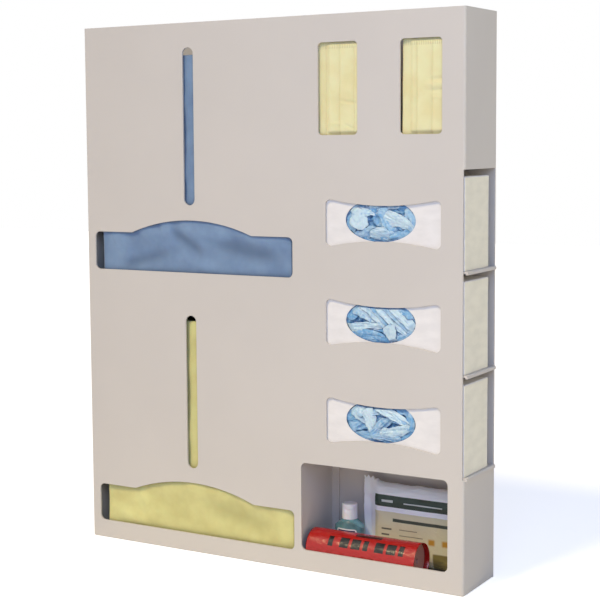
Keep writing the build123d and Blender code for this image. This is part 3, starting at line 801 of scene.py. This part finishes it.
class STATION_OT_gloves(bpy.types.Operator):
    """Packs crumpled gloves behind the torn oval of each carton"""

    bl_idname = "station.gloves"
    bl_label = "Gloves"

    def execute(self, context):
        material = nitrile_film()
        names = sorted((name for name in nodes if name.startswith("gloves_")), reverse=True)
        for number, name in enumerate(names):
            self.pack_gloves(name, number, material)
        return {"FINISHED"}

    def pack_gloves(self, name, number, material):
        near = spans(name)[1][0]
        (left, right), (board, _), (foot, _) = spans(name.replace("gloves", "glove_carton"))
        middle = ((left + right) / 2 - 4 * MM, foot + 65.8 * MM)
        points, faces = self.packed_block(name, board, middle, number)
        thick = bpy.context.scene.station_sizes.glove_film
        # Each point's share of pale colour, partly a painted sheen, which the film's material reads.
        pale_stretch_and_sheen = [0.1] * len(points)
        for n, row in enumerate(GLOVE_FOLDS[number % len(GLOVE_FOLDS)]):
            more, quads = film_fold(row, near + 2.2 * MM, middle, thick, number * 11.0 + n * 1.7)
            faces += [tuple(len(points) + corner for corner in quad) for quad in quads]
            points += more
            pale_stretch_and_sheen += [row[-1]] * len(more)
        kept = [self.hold_in(point, near, board, middle) for point in points]
        piece = add_piece(f"glove_pack_{name[-1]}", kept, faces, material, replaces=(name,))
        add_values(piece, "pale_stretch_and_sheen", pale_stretch_and_sheen)

    def hold_in(self, point, near, board, middle):
        """Keeps the film behind the board, except inside the oval, and behind the cover above its window."""
        x, y, z = point
        half_wide, half_high = 53 * MM, 29.2 * MM
        off = math.hypot((x - middle[0]) / half_wide, (z - middle[1]) / half_high)
        behind_board = board + 1.3 * MM
        behind_cover = board - 0.2 * MM
        half_window, waist = 88.5 * MM, 10 * MM
        rise = waist * ((x - middle[0] - 4 * MM) / half_window) ** 2
        window_top = middle[1] + 20.35 * MM + rise
        nearest = near + (behind_board - near) * ease(off, 0.8, 0.98)
        above = ease(z, window_top - 4 * MM, window_top - 1.2 * MM)
        nearest = max(nearest, near + (behind_cover - near) * above)
        return (x, max(y, nearest + 0.15 * max(y - nearest, -2 * MM)), z)

    def packed_block(self, name, board, middle, number):
        """The rest of the pack: a closed block whose front is crumpled film behind the oval."""
        (left, right), (_, far), (foot, top) = spans(name)
        half_wide, half_high = 53 * MM, 29 * MM
        columns, rows = 190, 104
        points = []
        for column in range(columns):
            x = left + (right - left) * column / (columns - 1)
            for row in range(rows):
                z = foot + (top - foot) * row / (rows - 1)
                off = math.hypot((x - middle[0]) / half_wide, (z - middle[1]) / half_high)
                inside = 1 - ease(off, 0.7, 1.2)
                warp = 6 * MM * wave(x * 70, z * 70, number)
                creased = 1.8 * abs(rumple(x + warp, number * 7.0, z - warp, 14, 3)) - 0.4
                points.append((x, board + (2 + inside * (-0.4 + 3.6 * creased)) * MM, z))
        size = len(points)
        faces = [face[::-1] for face in net(columns, rows)]
        corners = [0, (columns - 1) * rows, columns * rows - 1, rows - 1]
        points += [(points[corner][0], far, points[corner][2]) for corner in corners]
        edges = [
            [c * rows for c in range(columns)],
            [(columns - 1) * rows + r for r in range(rows)],
            [c * rows + rows - 1 for c in reversed(range(columns))],
            list(reversed(range(rows))),
        ]
        for n, edge in enumerate(edges):
            faces.append(tuple(edge + [size + (n + 1) % 4, size + n]))
        faces.append((size, size + 1, size + 2, size + 3))
        return points, faces


def printed_label():
    """Printed vinyl label: a navy field in a white border, under a clear gloss."""
    material, tree = new_material("printed_vinyl_label")
    uv = add_node(tree, "SeparateXYZ", {0: add_node(tree, "TexCoord").outputs["UV"]})
    across = within(tree, uv.outputs[0], 0.07, 0.93, 0.002)
    up = within(tree, uv.outputs[1], 0.06, 0.94, 0.002)
    field = add_node(tree, "Math", {0: across, 1: up}, operation="MULTIPLY")
    drift = add_node(tree, "TexNoise", {"Scale": per_metre(12), "Vector": place(tree)})
    inks = {0: drift, 6: linear("#1c1a66"), 7: linear("#14124c")}
    navy = add_node(tree, "Mix", inks, data_type="RGBA").outputs[2]
    tone = add_node(tree, "Mix", {0: field, 6: linear("#eef0f6"), 7: navy}, data_type="RGBA").outputs[2]
    return surface(material, {"Base Color": tone, "Roughness": 0.2, "IOR": 1.5, "Coat Weight": 0.5})


class STATION_OT_bottle(bpy.types.Operator):
    """Finishes the sanitizer bottle and its flip-top cap, and sticks on its label"""

    bl_idname = "station.bottle"
    bl_label = "Sanitizer bottle"

    def execute(self, context):
        set_finish(filled_bottle(), "bottle_plastic", "sanitizer_bottle")
        set_finish(moulded_cap(), "cap_plastic", "sanitizer_cap", "sanitizer_lid")
        self.add_label(context.scene.station_sizes)
        return {"FINISHED"}

    def add_label(self, sizes):
        """A label round the front of the bottle, whose oval is part of a circle there."""
        (left, right), (near, _), (foot, _) = spans("sanitizer_bottle")
        radius = 34.5 * MM
        outside = radius + 0.12 * MM
        corner = 2.6 * MM
        foot_gap = 15 * MM
        columns, rows = 40, 24
        points = []
        uvs = []
        for column in range(columns):
            u = column / (columns - 1)
            angle = (u - 0.5) * sizes.label_width / radius
            for row in range(rows):
                v = row / (rows - 1)
                short = max(0.0, corner - min(v, 1 - v) * sizes.label_height)
                cut = corner - math.sqrt(corner**2 - short**2)
                turn = angle * (1 - cut / (sizes.label_width / 2))
                x = (left + right) / 2 + outside * math.sin(turn)
                y = near + radius - outside * math.cos(turn)
                points.append((x, y, foot + foot_gap + sizes.label_height * v))
                uvs.append((u, v))
        piece = add_piece("bottle_label", points, net(columns, rows), printed_label())
        layer = piece.data.uv_layers.new(name="label")
        for loop in piece.data.loops:
            layer.data[loop.index].uv = uvs[loop.vertex_index]


def printed_film():
    """Printed polyethylene film of the wipes pack: glossy, creased, with plain fields of colour."""
    material, tree = new_material("printed_polyethylene")
    base = chosen("film")
    point = add_node(tree, "SeparateXYZ", {0: place(tree)})
    (left, right), _, (foot, top) = spans("wipes_pack")
    # Left, foot, right and top as shares of the pack, colour, and width of the soft edge in millimetres
    fields = [
        (0.13, 0.0, 0.94, 0.66, "#d2ceb0", 0.4),
        (0.13, 0.72, 0.86, 0.86, "#123028", 0.4),
        (0.2, 0.775, 0.3, 0.805, "#c9d0cc", 0.4),
        (0.4, 0.775, 0.74, 0.79, "#c9d0cc", 0.4),
        (0.3, 0.545, 0.82, 0.585, "#34423a", 0.4),
    ]
    for row in range(4):
        z = 0.44 - row * 0.07
        odd = row % 2
        fields.append((0.2, z, 0.29 - 0.02 * odd, z + 0.02, "#5d6258", 0.4))
        fields.append((0.36, z + 0.01, 0.52 + 0.05 * odd, z + 0.022, "#8d8c78", 0.4))
    fields += [(x, 0.32, x + 0.055, 0.39, "#b98d3a", 3) for x in (0.62, 0.74)]
    fields.append((0.66, 0.0, 0.9, 0.22, "#7d7446", 2))
    tone = base
    for x0, z0, x1, z1, code, soft_mm in fields:
        low = (left + x0 * (right - left), foot + z0 * (top - foot))
        high = (left + x1 * (right - left), foot + z1 * (top - foot))
        share = box_mask(tree, point, low, high, soft_mm)
        tone = add_node(tree, "Mix", {0: share, 6: tone, 7: linear(code)}, data_type="RGBA").outputs[2]
    facing = add_node(tree, "SeparateXYZ", {0: add_node(tree, "NewGeometry").outputs["Normal"]})
    front = add_node(tree, "MapRange", {0: facing.outputs[1], 1: 0.05, 2: 0.25, 3: 1.0, 4: 0.0})
    tone = add_node(tree, "Mix", {0: front, 6: base, 7: tone}, data_type="RGBA").outputs[2]
    creased = {"Scale": per_metre(9), "Detail": 5.0, "Distortion": 1.2, "Vector": place(tree)}
    look = {"Base Color": tone, "Roughness": 0.28, "IOR": 1.51}
    look |= {"Subsurface Weight": 0.1, "Subsurface Scale": 2 * MM}
    return surface(material, look, add_node(tree, "TexNoise", creased), 0.5)


class STATION_OT_wipes_pack(bpy.types.Operator):
    """Fills out the sealed pillow pack of wipes, with pressed and toothed fins"""

    bl_idname = "station.wipes_pack"
    bl_label = "Wipes pack"

    def execute(self, context):
        tooth_pitch = context.scene.station_sizes.fin_tooth
        (left, right), (near, far), (foot, top) = spans("wipes_pack")
        wide, deep, high = right - left, far - near, top - foot
        columns, around = 190, 120
        fin, shoulder = 9 * MM, 22 * MM
        points = []
        for column in range(columns):
            share = column / (columns - 1)
            from_end = min(share, 1 - share) * wide
            full = ease(from_end, fin, fin + shoulder)
            for n in range(around):
                angle = 2 * math.pi * (n + 0.5) / around
                c, s = math.cos(angle), math.sin(angle)
                half = max(0.35 * MM, deep / 2 * full)
                y = half * math.copysign(abs(c) ** (0.35 + 0.65 * full), c)
                z = high / 2 * math.copysign(abs(s) ** (0.42 if s > 0 else 0.2), s) * (1 - 0.025 * full)
                tooth = 1.2 * MM * abs(((z / tooth_pitch) % 1) * 2 - 1) * (1 - ease(from_end, 0, 1 * MM))
                x = left + share * wide + (tooth if share < 0.5 else -tooth)
                gathered = ease(from_end, fin * 0.6, fin + 5 * MM)
                gathered *= 1 - ease(from_end, fin + 8 * MM, 60 * MM)
                dent = 1.8 * full * rumple(x, 2.0 + c, z, 26, 4) + 2.6 * gathered * wave(x * 25, z * 110, 3)
                flutter = (1 - full) * (rumple(x, 5, z, 30, 2) + 2.4 * rumple(x, 8, z, 30, 2))
                out = min(deep / 2, max(-deep / 2, y + (dent * c + flutter) * MM))
                in_corner = 1 - ease(x - left, 12 * MM, 34 * MM)
                peak = in_corner * (3.0 + 9.0 * abs(((x - left) / (7.5 * MM)) % 1 - 0.5))
                top_wave = (1.2 * rumple(x, 6, 0, 22, 3) + peak) * MM * max(0, s) ** 4
                sway = 2.4 * MM * (1 - ease(x - left, 0, 26 * MM)) * wave(z * 45, 2, 8)
                points.append((x + sway, (near + far) / 2 + out, (foot + top) / 2 + z + top_wave))
        piece = closed_sheet(
            "wipes_pack_film", points, around, printed_film(), ("wipes_pack",),
            outward=False, shift=around // 4,
        )
        return {"FINISHED"}


def wrapped_film():
    """Low-density polyethylene wrap: clear-bright red, glossy, with a plain black print on its front."""
    material, tree = new_material("red_polyethylene_wrap")
    base = chosen("wrap")
    (left, right), (near, far), (_, top) = spans("bag_roll")
    long = right - left
    point = add_node(tree, "SeparateXYZ", {0: place(tree)})
    bars = []
    for n in range(7):
        start = left + long * (0.2 + n * 0.108)
        end = start + long * (0.082 if n % 3 else 0.0451)
        bars.append(box_mask(tree, point, (start, top - 17 * MM), (end, top - 5 * MM), 0.6))
    low, high = (left + 0.42 * long, top - 2.4 * MM), (left + 0.66 * long, top - 0.6 * MM)
    share = box_mask(tree, point, low, high, 1.6)
    for bar in bars:
        share = add_node(tree, "Math", {0: share, 1: bar}, operation="MAXIMUM")
    front = add_node(tree, "Math", {0: point.outputs[1], 1: (near + far) / 2}, operation="LESS_THAN")
    share = add_node(tree, "Math", {0: share, 1: front}, operation="MULTIPLY")
    drift = add_node(tree, "TexNoise", {"Scale": per_metre(24), "Detail": 3.0, "Vector": place(tree)})
    film = add_node(tree, "Mix", {0: drift, 6: base, 7: darker(base, 0.72)}, data_type="RGBA").outputs[2]
    tone = add_node(tree, "Mix", {0: share, 6: film, 7: linear("#0c0404")}, data_type="RGBA").outputs[2]
    creased = {"Scale": per_metre(6), "Detail": 5.0, "Distortion": 1.0, "Vector": place(tree, (0.6, 1, 1))}
    look = {"Base Color": tone, "Roughness": 0.24, "IOR": 1.51, "Coat Weight": 0.2, "Coat Roughness": 0.08}
    return surface(material, look, add_node(tree, "TexNoise", creased), 0.35)


def rolled_film():
    """Ends of the rolled bags: matt pink-brown edges of many thin turns."""
    material, tree = new_material("rolled_film_edges")
    low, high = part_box("bag_roll")
    point = add_node(tree, "TexCoord").outputs["Object"]
    away = add_node(tree, "VectorMath", {0: point, 1: (low + high) / 2}, operation="SUBTRACT")
    flat = add_node(tree, "VectorMath", {0: away, 1: (0, 1, 1)}, operation="MULTIPLY")
    radius = add_node(tree, "VectorMath", {0: flat}, operation="LENGTH").outputs["Value"]
    turns = add_node(tree, "Math", {0: radius, 1: 2 * math.pi * per_metre(1.1)}, operation="MULTIPLY")
    ring = add_node(tree, "Math", {0: turns}, operation="SINE")
    share = add_node(tree, "MapRange", {0: ring, 1: -1.0, 2: 1.0, 3: 0.0, 4: 1.0})
    edges = {0: share, 6: linear("#d9aaa0"), 7: linear("#c4877d")}
    tone = add_node(tree, "Mix", edges, data_type="RGBA").outputs[2]
    return surface(material, {"Base Color": tone, "Roughness": 0.55, "IOR": 1.51}, share, 0.2)


class STATION_OT_bag_roll(bpy.types.Operator):
    """Wraps the roll of waste bags in creased film, open at its ends"""

    bl_idname = "station.bag_roll"
    bl_label = "Bag roll"

    def execute(self, context):
        depth = context.scene.station_sizes.wrap
        (left, right), (near, far), (foot, top) = spans("bag_roll")
        radius = (far - near) / 2
        axis_y, axis_z = (near + far) / 2, top - radius
        inner = radius - 1.2 * MM
        recess = 7.5 * MM
        long = right - left
        columns, around = 150, 144
        profile = [(recess, inner - 0.3 * MM), (0.8 * MM, inner - 0.1 * MM), (0.0, radius - 0.7 * MM)]
        profile += [(0.9 * MM + (long - 1.8 * MM) * n / columns, radius) for n in range(columns + 1)]
        profile += [(long - along, r) for along, r in reversed(profile[:3])]
        points = []
        for along, r in profile:
            x = left + along
            near_end = 1 - ease(min(along, long - along), 0, 14 * MM)
            for n in range(around):
                angle = 2 * math.pi * n / around
                c, s = math.cos(angle), math.sin(angle)
                wrap = rumple(x * 0.5, c * radius * 1.4, s * radius * 1.4, 15, 4)
                band = math.exp(-(((angle - math.pi * 1.02) / 0.3) ** 2))
                sharp = 1 - 2 * abs(wave(x * 90, c * 4.5 + x * 30, s * 4.5))
                pull = near_end * math.sin(angle * 9 + 1.3 * math.sin(angle * 4))
                skin = depth * (0.5 * wrap + 1.1 * band * sharp + 0.4 * pull - 0.9)
                out = r + (skin if r == radius else 0.3 * MM * rumple(0, c, s, 500, 1))
                points.append((x, axis_y + out * c, max(foot, axis_z + out * s)))
        faces = net(len(profile), around, loop=True)
        add_piece("bag_roll_wrap", points, faces, wrapped_film(), replaces=("bag_roll",))
        self.add_bags((left + recess, right - recess), axis_y, axis_z, inner - 0.5 * MM)
        return {"FINISHED"}

    def add_bags(self, ends, axis_y, axis_z, outer):
        """The rolled bags inside the wrap: flat ends with an empty core and a slightly stepped spiral."""
        around, rings = 96, 22
        core = 4 * MM
        steps = [(0.35 * MM * ((n * 0.37) % 1), core + (outer - core) * n / rings) for n in range(rings + 1)]
        profile = [(ends[0] + step, r) for step, r in steps]
        profile += [(ends[1] - step, r) for step, r in reversed(steps)]
        points = []
        for x, r in profile:
            for n in range(around):
                angle = 2 * math.pi * n / around
                drifted = r + 0.25 * MM * math.sin(angle * 2 + r * 900)
                points.append((x, axis_y + drifted * math.cos(angle), axis_z + drifted * math.sin(angle)))
        faces = net(len(profile), around, loop=True)
        last = (len(profile) - 1) * around
        faces += [(last + n, n, (n + 1) % around, last + (n + 1) % around) for n in range(around)]
        add_piece("rolled_bags", points, faces, rolled_film())


def pale_floor():
    """Plain matt floor. The camera sees it lifted to white where it is lit, and it keeps the shadow."""
    material, tree = new_material("pale_floor")
    seen = add_node(tree, "LightPath").outputs["Is Camera Ray"]
    lift = add_node(tree, "Math", {0: seen, 1: 0.6}, operation="MULTIPLY")
    look = {"Base Color": linear("#fbfbfb"), "Roughness": 0.9}
    return surface(material, look | {"Emission Color": (1, 1, 1, 1), "Emission Strength": lift})


# Name, kind, strength, degrees for the sun or width in metres for a disk, colour, and place in metres
LAMPS = (
    ("key", "SUN", 2.05, 14, "#ffe9b6", (-0.5, -1.5, 1.85)),
    ("soft_box", "AREA", 14.0, 1.2, "#bcd4ff", (1.0, -1.8, 0.9)),
    ("side_box", "AREA", 8.0, 1.0, "#ffeea8", (2.3, -0.35, 0.6)),
)


class STATION_OT_stage(bpy.types.Operator):
    """Sets the camera, the soft studio light, the pale floor and the white surround"""

    bl_idname = "station.stage"
    bl_label = "Stage"

    def execute(self, context):
        self.add_camera()
        self.add_lamps()
        self.add_floor()
        self.set_world()
        context.scene.view_settings.view_transform = "Standard"
        return {"FINISHED"}

    def add_camera(self):
        """The photograph's viewpoint, worked out from the corners of the case, in metres and pixels."""
        data = bpy.data.cameras.new("camera")
        camera = bpy.data.objects.new("camera", data)
        bpy.context.scene.collection.objects.link(camera)
        frame_side, focal = 600, 1451.0
        centre_x, centre_y = 238.27, 273.41
        right = Vector((0.8498, 0.5270, -0.0103)).normalized()
        ahead = Vector((-0.5256, 0.8456, -0.0931))
        up = right.cross(ahead).normalized()
        back = right.cross(up)
        turned = Matrix((right, up, back)).transposed().to_4x4()
        camera.matrix_world = Matrix.Translation((1.0816, -1.9129, 0.2296)) @ turned
        data.sensor_width = 36
        data.lens = focal * data.sensor_width / frame_side
        data.shift_x = (frame_side / 2 - centre_x) / frame_side
        data.shift_y = (centre_y - frame_side / 2) / frame_side
        data.clip_end = 50
        bpy.context.scene.camera = camera

    def add_lamps(self):
        """A warm key from high in front, a weaker soft box in front, and another on the viewer's right."""
        for name, kind, strength, size, code, spot in LAMPS:
            data = bpy.data.lights.new(name, kind)
            data.energy = strength
            data.color = linear(code)[:3]
            if kind == "SUN":
                data.angle = math.radians(size)
            else:
                data.shape = "DISK"
                data.size = size
            lamp = bpy.data.objects.new(name, data)
            lamp.location = spot
            lamp.rotation_euler = (-Vector(spot)).to_track_quat("-Z", "Y").to_euler()
            bpy.context.scene.collection.objects.link(lamp)

    def add_floor(self):
        half = 6.0
        below = cad_box[0].z - 0.2 * MM
        corners = [(x * half, y * half, below) for x, y in ((-1, -1), (1, -1), (1, 1), (-1, 1))]
        mesh = bpy.data.meshes.new("floor")
        mesh.from_pydata(corners, [], [(0, 1, 2, 3)])
        mesh.materials.append(pale_floor())
        floor = bpy.data.objects.new("floor", mesh)
        bpy.context.scene.collection.objects.link(floor)

    def set_world(self):
        """Even ambient light. The camera, gloss and clear film see plain white behind the station."""
        world = bpy.data.worlds.new("studio")
        bpy.context.scene.world = world
        world.use_nodes = True
        tree = world.node_tree
        tree.nodes.clear()
        path = add_node(tree, "LightPath")
        seen = path.outputs["Is Camera Ray"]
        for ray in ("Is Glossy Ray", "Is Transmission Ray"):
            seen = add_node(tree, "Math", {0: seen, 1: path.outputs[ray]}, operation="MAXIMUM")
        ambient = add_node(tree, "Background", {"Color": linear("#a9c4ff"), "Strength": 0.3})
        white = add_node(tree, "Background", {"Color": (1, 1, 1, 1), "Strength": 1.0})
        mix = add_node(tree, "MixShader", {0: seen, 1: ambient, 2: white})
        add_node(tree, "OutputWorld", {"Surface": mix})


OPERATORS = (
    STATION_OT_stage,
    STATION_OT_case,
    STATION_OT_gowns,
    STATION_OT_masks,
    STATION_OT_cartons,
    STATION_OT_gloves,
    STATION_OT_bottle,
    STATION_OT_wipes_pack,
    STATION_OT_bag_roll,
)


class STATION_PT_panel(bpy.types.Panel):
    """Lists the steps, sizes and colours of the station"""

    bl_idname = "STATION_PT_panel"
    bl_label = "Gown isolation station"
    bl_space_type = "VIEW_3D"
    bl_region_type = "UI"
    bl_category = "Station"

    def draw(self, context):
        for operator in OPERATORS:
            self.layout.operator(operator.bl_idname)
        for group in (context.scene.station_sizes, context.scene.station_colours):
            for name in group.bl_rna.properties.keys():
                if name not in ("rna_type", "name"):
                    self.layout.prop(group, name)


CLASSES = (StationSizes, StationColours, *OPERATORS, STATION_PT_panel)


def register():
    for made in CLASSES:
        bpy.utils.register_class(made)
    bpy.types.Scene.station_sizes = PointerProperty(type=StationSizes)
    bpy.types.Scene.station_colours = PointerProperty(type=StationColours)


def unregister():
    del bpy.types.Scene.station_colours
    del bpy.types.Scene.station_sizes
    for made in reversed(CLASSES):
        bpy.utils.unregister_class(made)


def main():
    register()
    for operator in OPERATORS:
        group, name = operator.bl_idname.split(".")
        getattr(getattr(bpy.ops, group), name)()


if __name__ == "__main__":
    main()
